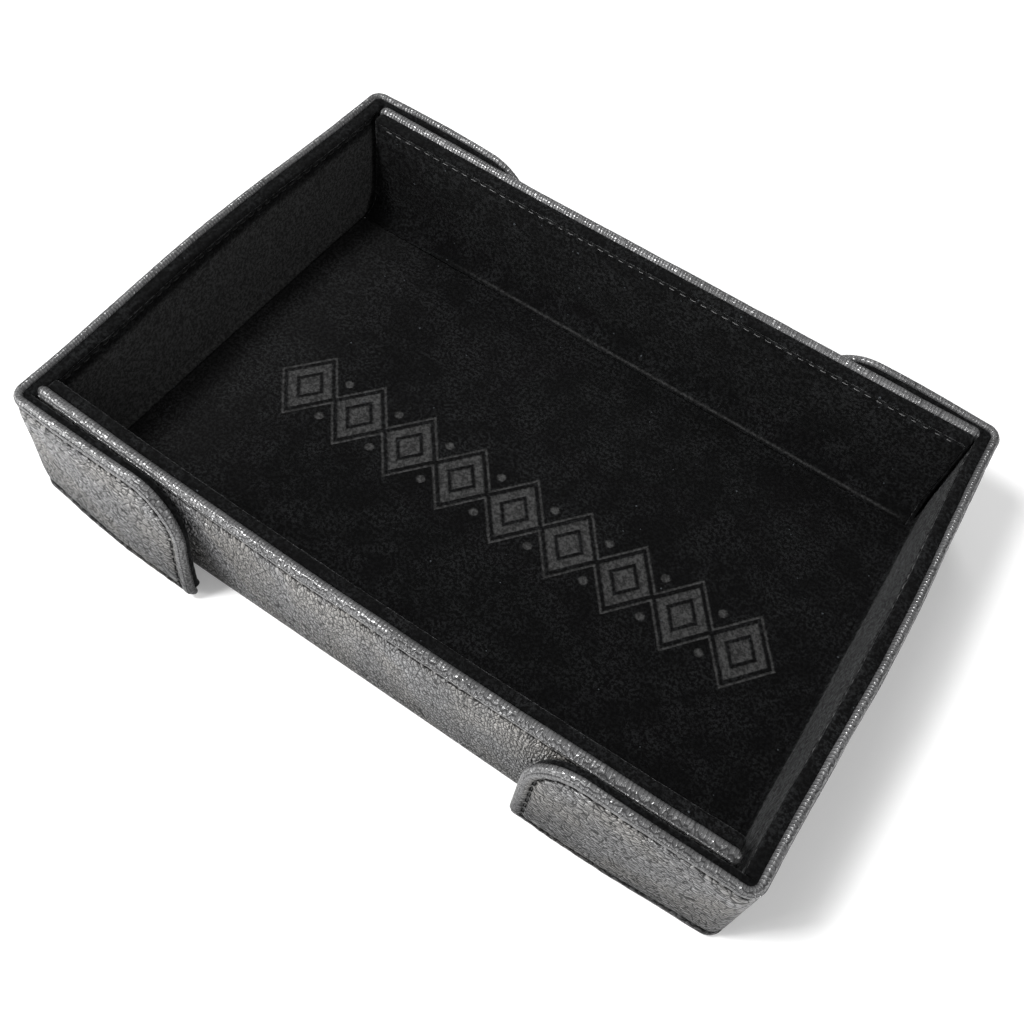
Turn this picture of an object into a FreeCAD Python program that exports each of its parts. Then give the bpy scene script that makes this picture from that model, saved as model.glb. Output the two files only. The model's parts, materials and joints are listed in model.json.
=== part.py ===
"""Folding dice tray: boards wrapped in leather, lined with velvet, closed by magnetic flaps.

Frame: origin on the table under the middle of the tray, X along the tray, +Z up.
The front is -Y. The tray stands open, with its flaps wrapped round the long walls.
"""
import FreeCAD
import Part
import math
import os
import Sketcher

# Driving dimensions, in millimetres
SIZES = {
    # The standing tray, measured over the leather
    "tray_length": 256.0,
    "tray_width": 182.0,
    "tray_height": 47.0,
    # Leather skin, and the edge that is turned over each board
    "leather": 0.8,
    "turned_edge": 8.0,
    "roll_flat": 0.1,
    "turned_bevel": 0.9,
    "fold_radius": 2.0,
    "corner_radius": 5.0,
    # Floor, from the table up
    "floor_board": 2.0,
    "floor_velvet": 1.8,
    # Layers and top corners of the long walls
    "long_board": 2.1,
    "long_velvet": 4.2,
    "long_corner": 3.0,
    # Layers of the short walls
    "short_board": 1.0,
    "short_velvet": 3.9,
    # Flaps, which reach from the short walls round the corners
    "flap_board": 1.0,
    "flap_velvet": 2.6,
    "flap_length": 68.5,
    "flap_foot": 0.6,
    "flap_tip": 19.0,
    "flap_toe": 3.0,
    # Room that the walls and flaps need where they fold or pass
    "long_hinge_gap": 7.2,
    "short_hinge_gap": 2.0,
    "flap_gap": 0.3,
    "end_gap": 0.4,
    "board_setback": 1.0,
    "seat_gap": 0.05,
    # Edges of the velvet, and the stitched line beside each rolled edge
    "velvet_inset": 1.2,
    "velvet_round": 1.2,
    "velvet_bevel": 1.0,
    "stitch_inset": 4.3,
    "stitch_width": 0.8,
    "stitch_depth": 0.25,
    # Closing bar magnets, sealed in the boards
    "magnet_length": 20.0,
    "magnet_width": 8.0,
    "wall_magnet": 2.0,
    "flap_magnet": 0.9,
    "magnet_inset": 16.0,
    "magnet_height": 24.0,
}

OVERCUT = 1.0
NEAR = 1e-4


class Size:
    """A length in millimetres, together with the sheet expression that drives it."""

    def __init__(self, number, text=None):
        self.number = float(number)
        self.text = text if text else str(self.number)

    def __add__(self, other):
        other = as_size(other)
        return Size(self.number + other.number, f"({self.text} + {other.text})")

    def __sub__(self, other):
        other = as_size(other)
        return Size(self.number - other.number, f"({self.text} - {other.text})")

    def __mul__(self, factor):
        return Size(self.number * factor, f"({self.text} * {factor})")

    def __truediv__(self, factor):
        return Size(self.number / factor, f"({self.text} / {factor})")

    def __neg__(self):
        return self * -1


def as_size(value):
    return value if isinstance(value, Size) else Size(value)


doc = FreeCAD.newDocument("dice_tray")
sheet = doc.addObject("Spreadsheet::Sheet", "dims")
for row, (alias, number) in enumerate(SIZES.items(), start=1):
    sheet.set(f"A{row}", str(number))
    sheet.setAlias(f"A{row}", alias)
doc.recompute()
dim = {alias: Size(number, f"dims.{alias}") for alias, number in SIZES.items()}

# Sizes that follow from the driving ones
ZERO = Size(0.0)
leather = dim["leather"]
half_length = dim["tray_length"] / 2
half_width = dim["tray_width"] / 2
height = dim["tray_height"]
floor_underside = leather + dim["floor_board"]
floor_top = floor_underside + dim["floor_velvet"]
long_rim = leather * 2 + dim["long_board"]
short_rim = leather * 2 + dim["short_board"]
flap_rim = leather * 2 + dim["flap_board"]
long_outer = half_width - flap_rim - dim["flap_velvet"] - dim["flap_gap"]
long_face = long_outer - long_rim - dim["long_velvet"]
short_face = half_length - short_rim - dim["short_velvet"]
long_half = short_face - dim["end_gap"]
short_half = half_width - dim["corner_radius"]
flap_root = half_length - dim["corner_radius"]
flap_span = dim["flap_length"] - dim["corner_radius"]
floor_half_x = short_face - dim["short_hinge_gap"]
floor_half_y = long_face - dim["long_hinge_gap"]
long_velvet_foot = floor_top + dim["long_hinge_gap"]
short_velvet_foot = floor_top + dim["short_hinge_gap"]
magnet_x = half_length - dim["flap_length"] + dim["magnet_inset"]
magnet_half = dim["magnet_length"] / 2
magnet_foot = dim["magnet_height"] - dim["magnet_width"] / 2
magnet_top = dim["magnet_height"] + dim["magnet_width"] / 2
stitch_near = dim["stitch_inset"] - dim["stitch_width"] / 2
stitch_far = dim["stitch_inset"] + dim["stitch_width"] / 2

node_objects = []


# Building and binding features

def bind(thing, path, size):
    thing.setExpression(path, as_size(size).text)


def seat(thing, x, y, turn):
    """Place a sub-part: turned about the vertical, then moved by bound distances."""
    spin = FreeCAD.Rotation(FreeCAD.Vector(0, 0, 1), turn)
    thing.Placement = FreeCAD.Placement(FreeCAD.Vector(0, 0, 0), spin)
    bind(thing, "Placement.Base.x", x)
    bind(thing, "Placement.Base.y", y)


def new_body(label):
    body = doc.addObject("PartDesign::Body", label)
    body.Label = label
    node_objects.append(body)
    return body


def add_sketch(body, name, plane, depth=ZERO):
    """A sketch on one of the body's own planes, moved along that plane's normal."""
    sketch = body.newObject("Sketcher::SketchObject", name)
    support = next(f for f in body.Origin.OriginFeatures if f.Role == plane)
    sketch.AttachmentSupport = (support, [""])
    sketch.MapMode = "FlatFace"
    bind(sketch, "AttachmentOffset.Base.z", depth)
    return sketch


def hold(sketch, kind, geometry, point, size):
    """Hold a point at a signed distance from the sketch's origin."""
    axis = -2 if kind == "DistanceX" else -1
    if size.number == 0.0:
        sketch.addConstraint(Sketcher.Constraint("PointOnObject", geometry, point, axis))
        return
    ends = (-1, 1, geometry, point)
    if size.number < 0.0:
        size = -size
        ends = (geometry, point, -1, 1)
    index = sketch.addConstraint(Sketcher.Constraint(kind, *ends, size.number))
    bind(sketch, f"Constraints[{index}]", size)


def quarter_arc(start, end, radius):
    """The quarter circle from start to end, and whether it runs clockwise."""
    clockwise = radius.number < 0.0
    side = -1 if clockwise else 1
    middle_x = (start[0] + end[0] - side * (end[1] - start[1])) / 2
    middle_y = (start[1] + end[1] + side * (end[0] - start[0])) / 2
    first = end if clockwise else start
    angle = math.atan2(first[1] - middle_y, first[0] - middle_x)
    ring = Part.Circle(
        FreeCAD.Vector(middle_x, middle_y, 0), FreeCAD.Vector(0, 0, 1), abs(radius.number)
    )
    return Part.ArcOfCircle(ring, angle, angle + math.pi / 2), clockwise


def draw(sketch, path):
    """Draw a closed path of (x, y, radius) points.

    With a radius, the way to the next point is a quarter circle, clockwise where the
    radius is negative. Without one it is straight.
    """
    spots = [(as_size(x), as_size(y), radius) for x, y, radius in path]
    starts, ends = [], []
    for index, (x, y, radius) in enumerate(spots):
        next_x, next_y, _ = spots[(index + 1) % len(spots)]
        start = (x.number, y.number)
        end = (next_x.number, next_y.number)
        clockwise = False
        if radius is None:
            curve = Part.LineSegment(FreeCAD.Vector(*start, 0), FreeCAD.Vector(*end, 0))
        else:
            curve, clockwise = quarter_arc(start, end, radius)
        geometry = sketch.addGeometry(curve, False)
        starts.append((geometry, 2 if clockwise else 1))
        ends.append((geometry, 1 if clockwise else 2))
        if radius is not None:
            size = -radius if clockwise else radius
            held = sketch.addConstraint(Sketcher.Constraint("Radius", geometry, size.number))
            bind(sketch, f"Constraints[{held}]", size)
    for index, (x, y, _) in enumerate(spots):
        sketch.addConstraint(Sketcher.Constraint("Coincident", *ends[index - 1], *starts[index]))
        hold(sketch, "DistanceX", *starts[index], x)
        hold(sketch, "DistanceY", *starts[index], y)


def rounded_box(left, right, bottom, top, corners):
    """The path of a rectangle whose corners may each have a radius.

    corners holds the radii in the order bottom left, bottom right, top right, top left.
    """
    places = ((left, bottom), (right, bottom), (right, top), (left, top))
    ways_in = ((0, 1), (-1, 0), (0, -1), (1, 0))
    ways_out = ((1, 0), (0, 1), (-1, 0), (0, -1))
    path = []
    for (x, y), radius, way_in, way_out in zip(places, corners, ways_in, ways_out):
        if radius is None:
            path.append((x, y, None))
            continue
        path.append((x + radius * way_in[0], y + radius * way_in[1], radius))
        path.append((x + radius * way_out[0], y + radius * way_out[1], None))
    return path


def pad(body, sketch, length, backwards=False):
    feature = body.newObject("PartDesign::Pad", f"{sketch.Name}_pad")
    feature.Profile = sketch
    feature.Reversed = backwards
    bind(feature, "Length", length)
    return feature


def pocket(body, sketch, depth, backwards=False):
    doc.recompute()
    before = body.Tip.Shape.Volume
    feature = body.newObject("PartDesign::Pocket", f"{sketch.Name}_pocket")
    feature.Profile = sketch
    feature.Reversed = backwards
    bind(feature, "Length", depth)
    doc.recompute()
    if feature.Shape.Volume > before - NEAR:
        raise RuntimeError(f"{feature.Name} removes nothing")
    return feature


def choose_edges(body, chosen):
    """The newest feature of the body, with those of its edges that the test chooses."""
    doc.recompute()
    edges = enumerate(body.Tip.Shape.Edges, start=1)
    return body.Tip, [f"Edge{index}" for index, edge in edges if chosen(edge.BoundBox)]


def round_edges(body, name, radius, chosen):
    """Fillet the edges of the body whose bounding boxes the test chooses."""
    base = choose_edges(body, chosen)
    feature = body.newObject("PartDesign::Fillet", name)
    feature.Base = base
    bind(feature, "Radius", radius)
    return feature


def bevel_edges(body, name, size, chosen):
    """Chamfer the edges of the body whose bounding boxes the test chooses."""
    base = choose_edges(body, chosen)
    feature = body.newObject("PartDesign::Chamfer", name)
    feature.Base = base
    bind(feature, "Size", size)
    return feature


def lies_at(low, high, number):
    return abs(low - number) < NEAR and abs(high - number) < NEAR


class Panel:
    """One wrapped wall or flap, drawn in its own frame.

    X runs along it from 0, Z is up, and its leather face lies at Y 0. The layers follow
    along +Y, or along -Y where the panel is mirrored. Free sides have a rolled edge, and
    joined sides run on into a fold.
    """

    def __init__(self, label, span, foot, rim, joined, corners, mirrored=False):
        self.label = label
        self.span = span
        self.foot = foot
        self.rim = rim
        self.joined = joined
        self.corners = corners
        self.mirrored = mirrored
        self.side = -1 if mirrored else 1

    def sketch(self, body, name, depth=ZERO):
        return add_sketch(body, f"{body.Label}_{name}", "XZ_Plane", depth * -self.side)

    def path(self, inset, beyond=ZERO, foot=None):
        """The outline, drawn in from the free sides and carried past the joined ones."""
        out = {side: as_size(inset) for side in ("left", "right", "bottom", "top")}
        for side in self.joined:
            out[side] = -as_size(beyond)
        corners = []
        for radius in self.corners:
            inner = None if radius is None else radius - inset
            corners.append(inner if inner and inner.number > NEAR else None)
        low = self.foot + out["bottom"] if foot is None else foot
        return rounded_box(out["left"], self.span - out["right"], low, height - out["top"], corners)

    def pad(self, body, sketch, length):
        return pad(body, sketch, length, backwards=not self.mirrored)

    def pad_outward(self, body, sketch, length):
        return pad(body, sketch, length, backwards=self.mirrored)

    def pocket(self, body, sketch, depth):
        return pocket(body, sketch, depth, backwards=self.mirrored)

    def pocket_outward(self, body, sketch, depth):
        return pocket(body, sketch, depth, backwards=not self.mirrored)

    def on_free_side(self, box, level, foot):
        """Whether an edge lies on the level and runs along a free side."""
        if not lies_at(box.YMin, box.YMax, level.number * self.side):
            return False
        joined_edges = {
            "left": lies_at(box.XMin, box.XMax, 0.0),
            "right": lies_at(box.XMin, box.XMax, self.span.number),
            "bottom": lies_at(box.ZMin, box.ZMax, foot.number),
        }
        return not any(joined_edges[side] for side in self.joined)


def stitch_path(panel):
    """The groove that the stitching pulls in beside the rolled edges."""
    if "bottom" in panel.joined:
        end = ZERO - OVERCUT if "left" in panel.joined else dim["stitch_inset"]
        return [rounded_box(end, panel.span - end, height - stitch_far, height - stitch_near, [None] * 4)]
    return [panel.path(stitch_near, OVERCUT), panel.path(stitch_far, Size(OVERCUT) * 2)]


def cut_stitch_groove(panel, body, depth, outward):
    sketch = panel.sketch(body, "stitch_line", depth)
    for path in stitch_path(panel):
        draw(sketch, path)
    cut = panel.pocket_outward if outward else panel.pocket
    cut(body, sketch, dim["stitch_depth"])


def build_cover(panel, board):
    """Leather skin: rolled round the free edges and turned in behind the board."""
    body = new_body(f"{panel.label}_cover")
    outline = panel.sketch(body, "outline")
    draw(outline, panel.path(ZERO))
    panel.pad(body, outline, panel.rim)
    bevel_edges(
        body, f"{body.Label}_turned", dim["turned_bevel"],
        lambda box: panel.on_free_side(box, panel.rim, panel.foot),
    )
    roll = (panel.rim - dim["roll_flat"]) / 2
    round_edges(body, f"{body.Label}_roll", roll, lambda box: panel.on_free_side(box, ZERO, panel.foot))
    cavity = panel.sketch(body, "board_space", leather)
    draw(cavity, panel.path(leather, OVERCUT))
    panel.pocket(body, cavity, board)
    opening = panel.sketch(body, "opening", leather + board)
    draw(opening, panel.path(dim["turned_edge"], OVERCUT))
    panel.pocket(body, opening, leather + OVERCUT)
    cut_stitch_groove(panel, body, ZERO, outward=False)
    return body


def build_board(panel, board, magnet_spots=()):
    """Stiff board inside the cover, holed for its magnets."""
    body = new_body(f"{panel.label}_board")
    outline = panel.sketch(body, "outline", leather)
    draw(outline, panel.path(leather + dim["seat_gap"], -dim["board_setback"]))
    panel.pad(body, outline, board)
    if magnet_spots:
        holes = panel.sketch(body, "magnet_holes", leather)
        gap = dim["seat_gap"]
        for x in magnet_spots:
            left, right = x - magnet_half - gap, x + magnet_half + gap
            draw(holes, rounded_box(left, right, magnet_foot - gap, magnet_top + gap, [None] * 4))
        panel.pocket(body, holes, board)
    return body


def build_velvet(panel, velvet, foot=None, setback=ZERO):
    """Padded velvet lining, with a step behind that fills the opening of the cover."""
    body = new_body(f"{panel.label}_velvet")
    low = panel.foot + dim["velvet_inset"] if foot is None else foot
    outline = panel.sketch(body, "outline", panel.rim)
    draw(outline, panel.path(dim["velvet_inset"], -setback, foot))
    panel.pad(body, outline, velvet)
    ends = (setback.number, panel.span.number - setback.number)

    def soft(box):
        at_end = any(lies_at(box.XMin, box.XMax, end) for end in ends)
        return panel.on_free_side(box, panel.rim + velvet, low) and not (at_end and "left" in panel.joined)

    if "bottom" in panel.joined:
        round_edges(body, f"{body.Label}_soft_edge", dim["velvet_round"], soft)
    else:
        bevel_edges(body, f"{body.Label}_soft_edge", dim["velvet_bevel"], soft)
    step = panel.sketch(body, "step", panel.rim)
    draw(step, panel.path(dim["turned_edge"] + dim["seat_gap"], -setback, foot))
    panel.pad_outward(body, step, leather)
    if "bottom" in panel.joined:
        cut_stitch_groove(panel, body, panel.rim + velvet, outward=True)
    return body


def build_magnet(label, x, front, thickness):
    """Bar magnet behind the leather, centred on x, with its front face at the given Y."""
    magnet = doc.addObject("Part::Box", label)
    magnet.Label = label
    bind(magnet, "Length", magnet_half * 2)
    bind(magnet, "Width", thickness)
    bind(magnet, "Height", magnet_top - magnet_foot)
    bind(magnet, "Placement.Base.x", x - magnet_half)
    bind(magnet, "Placement.Base.y", front)
    bind(magnet, "Placement.Base.z", magnet_foot)
    node_objects.append(magnet)


def build_bend(label, length, middle, inner, thickness, reach, rise):
    """Strip that bends a quarter turn from upright to flat, for a living hinge.

    middle is the bend's centre in the wall's own Y and Z. The flat leg reaches on from
    it along +Y, and the upright leg rises from it.
    """
    body = new_body(label)
    sketch = add_sketch(body, f"{label}_section", "YZ_Plane")
    y, z = middle
    outer = inner + thickness
    path = []
    if rise.number > 0.0:
        path.append((y - outer, z + rise, None))
    path.append((y - outer, z, outer))
    path.append((y, z - outer, None))
    if reach.number > 0.0:
        path.append((y + reach, z - outer, None))
        path.append((y + reach, z - inner, None))
    if inner.number > 0.0:
        path.append((y, z - inner, -inner))
        path.append((y - inner, z, None))
    else:
        path.append((y, z, None))
    if rise.number > 0.0:
        path.append((y - inner, z + rise, None))
    draw(sketch, path)
    pad(body, sketch, length)
    return body


def build_turned(label, path):
    """Quarter turn of a section about the vertical through the corner's centre."""
    body = new_body(label)
    sketch = add_sketch(body, f"{label}_section", "XZ_Plane")
    draw(sketch, path)
    feature = body.newObject("PartDesign::Revolution", f"{label}_turn")
    feature.Profile = sketch
    feature.ReferenceAxis = (sketch, ["V_Axis"])
    feature.Angle = 90.0
    feature.Reversed = False
    return body


# Floor

def build_floor():
    def slab(label, half_x, half_y, bottom, thickness):
        body = new_body(label)
        sketch = add_sketch(body, f"{label}_outline", "XY_Plane", bottom)
        draw(sketch, rounded_box(-half_x, half_x, -half_y, half_y, [None] * 4))
        pad(body, sketch, thickness)

    slab("base_cover", short_face, floor_half_y, ZERO, leather)
    slab("base_board", floor_half_x, floor_half_y, leather, dim["floor_board"])
    slab("base_velvet", floor_half_x, floor_half_y, floor_underside, dim["floor_velvet"])


# Long walls, front and back

def build_long_wall(side, turn):
    label = f"{side}_wall"
    span = long_half * 2
    facing = 1 if side == "back" else -1
    corner = dim["long_corner"]
    panel = Panel(label, span, dim["fold_radius"], long_rim, ("bottom",), (None, None, corner, corner))
    spots = (long_half - magnet_x, long_half + magnet_x)
    pieces = [
        build_cover(panel, dim["long_board"]),
        build_board(panel, dim["long_board"], spots),
        build_velvet(panel, dim["long_velvet"], foot=long_velvet_foot),
    ]
    bend = (dim["fold_radius"], dim["fold_radius"])
    reach = long_outer - floor_half_y - dim["fold_radius"]
    inner = dim["fold_radius"] - leather
    pieces.append(build_bend(f"{side}_cover_fold", span, bend, inner, leather, reach, ZERO))
    corner_of_floor = (long_outer - floor_half_y, long_velvet_foot)
    pieces.append(
        build_bend(
            f"{side}_velvet_fold", span, corner_of_floor,
            dim["long_hinge_gap"], dim["floor_velvet"], ZERO, ZERO,
        )
    )
    for piece in pieces:
        seat(piece, long_half * facing, long_outer * facing, turn)
    for end, way in (("left", -1), ("right", 1)):
        skin = (long_outer - leather) * facing
        front = skin if facing < 0 else skin - dim["wall_magnet"]
        build_magnet(f"{label}_magnet_{end}", magnet_x * way, front, dim["wall_magnet"])


# Short walls, left and right

def build_short_wall(side, turn):
    label = f"{side}_wall"
    span = short_half * 2
    facing = 1 if side == "right" else -1
    joined = ("bottom", "left", "right")
    panel = Panel(label, span, dim["fold_radius"], short_rim, joined, (None,) * 4)
    setback = short_half - long_outer
    pieces = [
        build_cover(panel, dim["short_board"]),
        build_board(panel, dim["short_board"]),
        build_velvet(panel, dim["short_velvet"], foot=short_velvet_foot, setback=setback),
    ]
    for piece in pieces:
        seat(piece, half_length * facing, -short_half * facing, turn)
    bend = (dim["fold_radius"], dim["fold_radius"])
    reach = half_length - short_face - dim["fold_radius"]
    inner = dim["fold_radius"] - leather
    fold = build_bend(f"{side}_cover_fold", long_outer * 2, bend, inner, leather, reach, ZERO)
    seat(fold, half_length * facing, -long_outer * facing, turn)
    crease = (half_length - short_face, floor_top)
    gap = dim["short_hinge_gap"]
    lining = build_bend(
        f"{side}_velvet_fold", floor_half_y * 2, crease, ZERO, dim["floor_velvet"], gap, gap
    )
    seat(lining, half_length * facing, -floor_half_y * facing, turn)


# Flaps and the folds that join them to the short walls

def build_flap(end, side, turn, mirrored):
    label = f"{end}_{side}_flap"
    way_x = 1 if side == "right" else -1
    way_y = 1 if end == "back" else -1
    tip, toe = dim["flap_tip"], dim["flap_toe"]
    panel = Panel(
        label, flap_span, dim["flap_foot"], flap_rim, ("left",), (None, toe, tip, None), mirrored
    )
    spot = flap_span - dim["magnet_inset"]
    pieces = [
        build_cover(panel, dim["flap_board"]),
        build_board(panel, dim["flap_board"], (spot,)),
        build_velvet(panel, dim["flap_velvet"]),
    ]
    for piece in pieces:
        seat(piece, flap_root * way_x, half_width * way_y, turn)
    skin = (half_width - leather) * way_y
    front = skin if way_y < 0 else skin - dim["flap_magnet"]
    build_magnet(f"{label}_magnet", magnet_x * way_x, front, dim["flap_magnet"])


def build_corner(end, side, turn):
    way_x = 1 if side == "right" else -1
    way_y = 1 if end == "back" else -1
    radius = dim["corner_radius"]
    foot = dim["flap_foot"]
    under_turned = height - dim["turned_edge"]
    skin = radius - leather
    head = radius - short_rim
    cover = build_turned(
        f"{end}_{side}_corner_cover",
        [
            (skin, foot, None),
            (radius, foot, None),
            (radius, height, None),
            (head, height, None),
            (head, under_turned, None),
            (skin, under_turned, None),
        ],
    )

    def along_top(box):
        return lies_at(box.ZMin, box.ZMax, height.number) and box.DiagonalLength > short_rim.number

    bevel_edges(cover, f"{cover.Label}_roll", dim["turned_bevel"], along_top)
    soft_top = height - dim["velvet_inset"]
    velvet = build_turned(
        f"{end}_{side}_corner_velvet",
        [
            (ZERO, foot, None),
            (skin, foot, None),
            (skin, under_turned, None),
            (head, under_turned, None),
            (head, soft_top, None),
            (ZERO, soft_top, None),
        ],
    )
    for piece in (cover, velvet):
        seat(piece, flap_root * way_x, short_half * way_y, turn)


build_floor()
build_long_wall("front", turn=0.0)
build_long_wall("back", turn=180.0)
build_short_wall("left", turn=-90.0)
build_short_wall("right", turn=90.0)
for flap_end, flap_side, flap_turn, is_mirrored, corner_turn in (
    ("front", "left", 0.0, False, 180.0),
    ("front", "right", 180.0, True, 270.0),
    ("back", "right", 180.0, False, 0.0),
    ("back", "left", 0.0, True, 90.0),
):
    build_flap(flap_end, flap_side, flap_turn, is_mirrored)
    build_corner(flap_end, flap_side, corner_turn)

doc.recompute()
for thing in doc.Objects:
    if "Invalid" in thing.State or "Error" in thing.State:
        raise RuntimeError(f"{thing.Label} failed: {thing.State}")
os.makedirs("parts", exist_ok=True)
for node in node_objects:
    if node.Shape.isNull() or not node.Shape.isValid():
        raise RuntimeError(f"{node.Label} has no valid shape")
    node.Shape.exportStep(f"parts/{node.Label}.step")
    print(f"{node.Label}: {len(node.Shape.Solids)} solid, {node.Shape.Volume:.1f} mm3")
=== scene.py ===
"""Looks of the folding dice tray: rolled leather covers, stitching and velvet linings.

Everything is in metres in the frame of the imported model: X along the tray, +Z up, the
front long wall at -Y, the origin on the table under the middle of the tray.
"""
import json
import math
import bpy
import numpy as np
from mathutils import Matrix, Vector

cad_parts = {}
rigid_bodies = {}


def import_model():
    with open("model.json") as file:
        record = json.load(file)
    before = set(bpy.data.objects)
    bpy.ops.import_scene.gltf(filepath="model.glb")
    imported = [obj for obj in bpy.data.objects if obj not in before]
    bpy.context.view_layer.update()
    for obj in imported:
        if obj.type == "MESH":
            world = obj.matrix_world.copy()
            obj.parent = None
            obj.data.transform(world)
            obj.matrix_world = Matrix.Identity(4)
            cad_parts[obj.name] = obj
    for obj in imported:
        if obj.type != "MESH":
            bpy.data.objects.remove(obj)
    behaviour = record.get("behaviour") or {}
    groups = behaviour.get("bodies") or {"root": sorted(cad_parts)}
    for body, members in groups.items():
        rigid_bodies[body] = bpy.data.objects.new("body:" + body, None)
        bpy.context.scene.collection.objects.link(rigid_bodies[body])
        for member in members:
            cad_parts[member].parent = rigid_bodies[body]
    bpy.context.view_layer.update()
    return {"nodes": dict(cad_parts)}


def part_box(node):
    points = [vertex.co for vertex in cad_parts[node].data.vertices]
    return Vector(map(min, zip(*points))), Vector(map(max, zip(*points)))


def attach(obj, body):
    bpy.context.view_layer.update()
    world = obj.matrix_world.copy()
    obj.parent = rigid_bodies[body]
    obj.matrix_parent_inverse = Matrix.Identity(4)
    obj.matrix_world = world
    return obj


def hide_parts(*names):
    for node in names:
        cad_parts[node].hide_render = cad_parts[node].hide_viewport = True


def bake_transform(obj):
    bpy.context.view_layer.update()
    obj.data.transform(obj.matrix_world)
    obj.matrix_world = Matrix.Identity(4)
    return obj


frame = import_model()
MM = 0.001


# Sizes read from the frame

def side_of(node, axis, high):
    """How far a node reaches along an axis, as a distance from the middle."""
    return abs(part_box(node)[1 if high else 0][axis])


half_length = side_of("left_wall_cover", 0, False)
half_width = side_of("front_left_flap_cover", 1, False)
height = side_of("front_wall_cover", 2, True)
long_outer = side_of("front_wall_cover", 1, False)
long_half = side_of("front_wall_cover", 0, False)
long_rim = long_outer - side_of("front_wall_cover", 1, True)
long_face = side_of("front_wall_velvet", 1, True)
long_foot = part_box("front_wall_velvet")[0].z
short_rim = half_length - side_of("left_wall_cover", 0, True)
short_face = side_of("left_wall_velvet", 0, True)
short_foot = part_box("left_wall_velvet")[0].z
short_half = side_of("left_wall_cover", 1, False)
flap_root = side_of("front_left_flap_cover", 0, False)
flap_end = side_of("front_left_flap_cover", 0, True)
flap_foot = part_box("front_left_flap_cover")[0].z
flap_rim = half_width - side_of("front_left_flap_cover", 1, True)
flap_face = side_of("front_left_flap_velvet", 1, True)
fold_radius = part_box("front_wall_cover")[0].z
floor_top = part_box("base_velvet")[1].z
floor_half_x = side_of("base_velvet", 0, True)
floor_half_y = side_of("base_velvet", 1, True)
corner_radius = half_length - flap_root
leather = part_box("base_cover")[1].z
corner_arc = corner_radius * math.pi / 2

# Sizes of the finish, which the frame doesn't hold
long_corner = 3.0 * MM
flap_tip = 19.0 * MM
flap_toe = 3.0 * MM
flap_tuck = 1.6 * MM
turned_edge = 8.0 * MM
velvet_inset = 1.2 * MM
velvet_round = 1.3 * MM
stitch_inset = 4.3 * MM
stitch_pitch = 4.2 * MM
thread_radius = 0.22 * MM
thread_length = 3.1 * MM
thread_dip = 0.30 * MM
outside_thread_depth = 0.50 * MM
inside_thread_lift = 0.22 * MM
inside_thread_share = 0.62
groove_width = 0.56 * MM
seam_shade_width = 0.60 * MM
column_step = 0.8 * MM
leather_row = 0.5 * MM
velvet_row = 0.8 * MM
wall_velvet_row = 0.6 * MM
board_row = 4.0 * MM
crease_share = 0.777
fold_seat = 0.6 * MM
short_fold_inset = 3.5 * MM
board_play = 0.05 * MM
flap_board_start = 0.8 * MM


# Smooth noise and soft steps

def lattice(i, j, seed):
    wave = np.sin(i * 127.1 + j * 311.7 + seed * 74.7) * 43758.5453
    return wave - np.floor(wave)


def noise(x, y, seed=0):
    """Smooth noise from -1 to 1 with features of about one unit."""
    i, j = np.floor(x), np.floor(y)
    fx, fy = x - i, y - j
    fx, fy = fx * fx * (3 - 2 * fx), fy * fy * (3 - 2 * fy)
    low = lattice(i, j, seed) * (1 - fx) + lattice(i + 1, j, seed) * fx
    high = lattice(i, j + 1, seed) * (1 - fx) + lattice(i + 1, j + 1, seed) * fx
    return (low * (1 - fy) + high * fy) * 2 - 1


def bell(value, middle, width):
    return np.exp(-(((value - middle) / width) ** 2))


def smooth_step(value, low, high):
    t = np.clip((value - low) / (high - low), 0, 1)
    return t * t * (3 - 2 * t)


# Panels: walls and flaps, each drawn flat in its own frame

def settle(world):
    """The tray's own unevenness: its left end stands a little prouder than the right."""
    lean_left, lean_back, rise_left = 1.0 * MM, 1.4 * MM, 1.5 * MM
    x, y, z = world[:, 0].copy(), world[:, 1].copy(), world[:, 2].copy()
    share = z / height
    left = np.clip(-x / half_length, 0, 1.05)
    back_left = smooth_step(-x, 0.3 * half_length, half_length)
    back_left = back_left * smooth_step(y, 0.4 * half_width, half_width)
    world[:, 0] = x - lean_left * smooth_step(-x, 0.7 * half_length, half_length) * share
    world[:, 1] = y + lean_back * back_left * share
    world[:, 2] = z + rise_left * left ** 2 * share
    return world


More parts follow.
